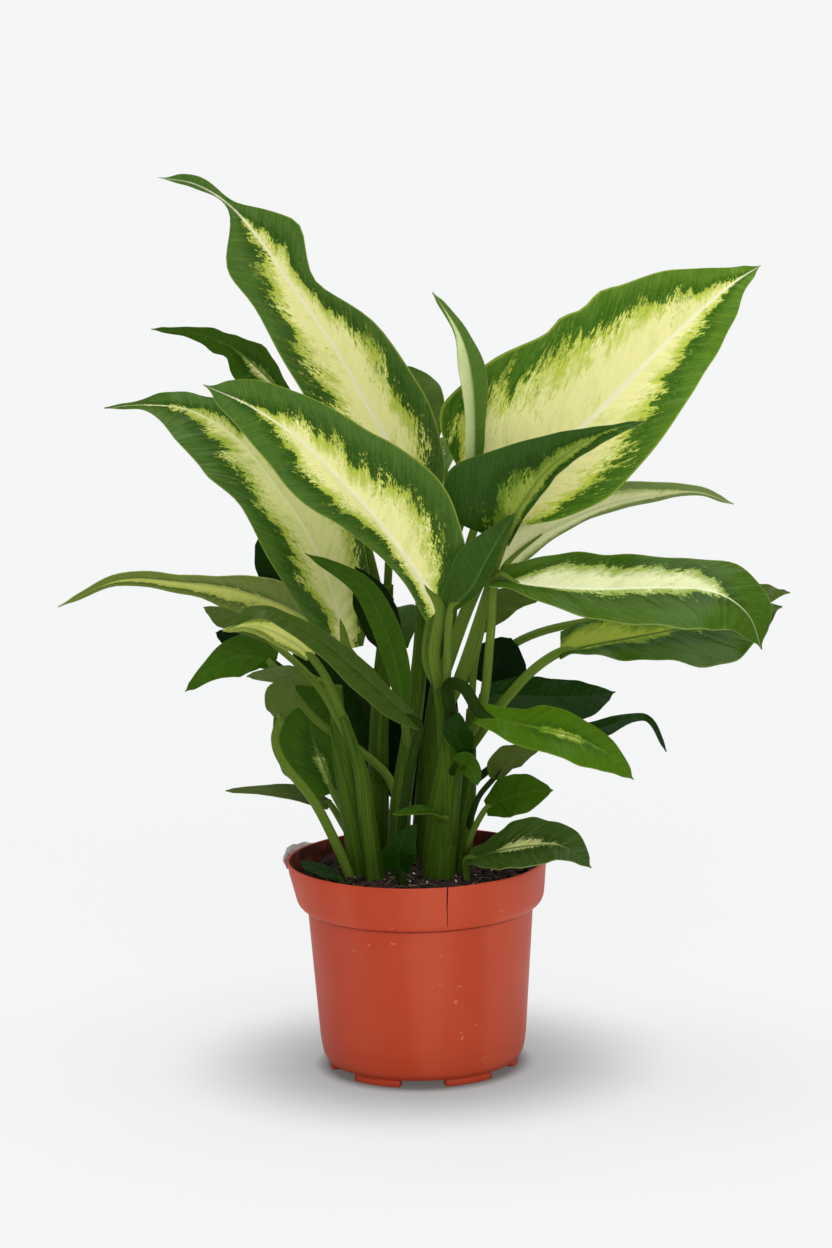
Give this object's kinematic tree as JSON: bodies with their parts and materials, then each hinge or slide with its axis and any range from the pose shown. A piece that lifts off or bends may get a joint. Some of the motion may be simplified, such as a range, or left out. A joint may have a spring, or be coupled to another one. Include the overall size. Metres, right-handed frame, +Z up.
{
  "type": "potted dieffenbachia",
  "caption": "Leafy houseplant with broad pointed variegated leaves on upright stems, rooted in soil in a round tapered nursery pot with a stepped collar and short feet.",
  "frame": {"origin": "on the surface under the pot's feet, on the pot's axis", "axes": "+Z up along the pot's axis, -Y towards the side with the split in the collar, +X to the right of it"},
  "size_m": [0.35, 0.2093, 0.4238],
  "materials": {
    "terracotta_plastic": "moulded terracotta-orange plastic, satin, with light scuffs",
    "peat": "damp dark peat with white perlite grains and fibrous roots",
    "clear_film": "crumpled translucent whitish film",
    "stem_green": "smooth fleshy green stem skin, faintly ribbed",
    "leaf_variegated": "smooth satin leaf, cream-yellow middle breaking up into a green margin",
    "leaf_dark": "smooth satin dark green leaf with paler underside"
  },
  "bodies": {
    "root": {"pot": "terracotta_plastic", "soil": "peat", "film_scrap": "clear_film", "stem_main": "stem_green", "stem_right": "stem_green", "stem_left": "stem_green", "stem_left_pale": "stem_green", "stem_middle": "stem_green", "stem_rear_right": "stem_green", "stem_rear_left": "stem_green", "leaf_top_left": "leaf_variegated", "leaf_far_left": "leaf_dark", "leaf_front_centre": "leaf_variegated", "leaf_left": "leaf_variegated", "leaf_top_right": "leaf_variegated", "leaf_young": "leaf_variegated", "leaf_centre": "leaf_dark", "leaf_centre_sheath": "leaf_dark", "leaf_right_pale": "leaf_variegated", "leaf_right": "leaf_variegated", "leaf_right_under": "leaf_variegated", "leaf_right_behind": "leaf_dark", "leaf_small_right": "leaf_dark", "leaf_front_right": "leaf_dark", "leaf_dark_right": "leaf_dark", "leaf_round": "leaf_dark", "leaf_hooked": "leaf_dark", "leaf_small_low": "leaf_dark", "leaf_small_bright": "leaf_dark", "leaf_lowest": "leaf_dark", "leaf_twisted_upper": "leaf_dark", "leaf_twisted_lower": "leaf_dark", "leaf_thin": "leaf_dark", "leaf_soil_dark": "leaf_dark", "leaf_at_rim": "leaf_dark", "leaf_long_left": "leaf_dark", "leaf_strap_left": "leaf_dark", "leaf_yellow_left": "leaf_variegated", "leaf_dark_left": "leaf_dark", "leaf_behind_left": "leaf_dark", "leaf_small_left": "leaf_dark", "leaf_edge_left": "leaf_dark", "leaf_outer_left": "leaf_dark", "leaf_oval_left": "leaf_dark", "leaf_pointed_left": "leaf_dark", "leaf_strap_centre": "leaf_dark", "leaf_shade_left": "leaf_dark", "leaf_shade_centre": "leaf_dark", "leaf_shade_top": "leaf_dark", "leaf_rear_high": "leaf_variegated", "leaf_rear_right": "leaf_variegated", "leaf_rear_left": "leaf_variegated", "leaf_rear_upper_left": "leaf_variegated", "leaf_rear_middle": "leaf_dark", "leaf_rear_low_right": "leaf_dark", "leaf_rear_low_left": "leaf_dark"}
  },
  "joints": []
}
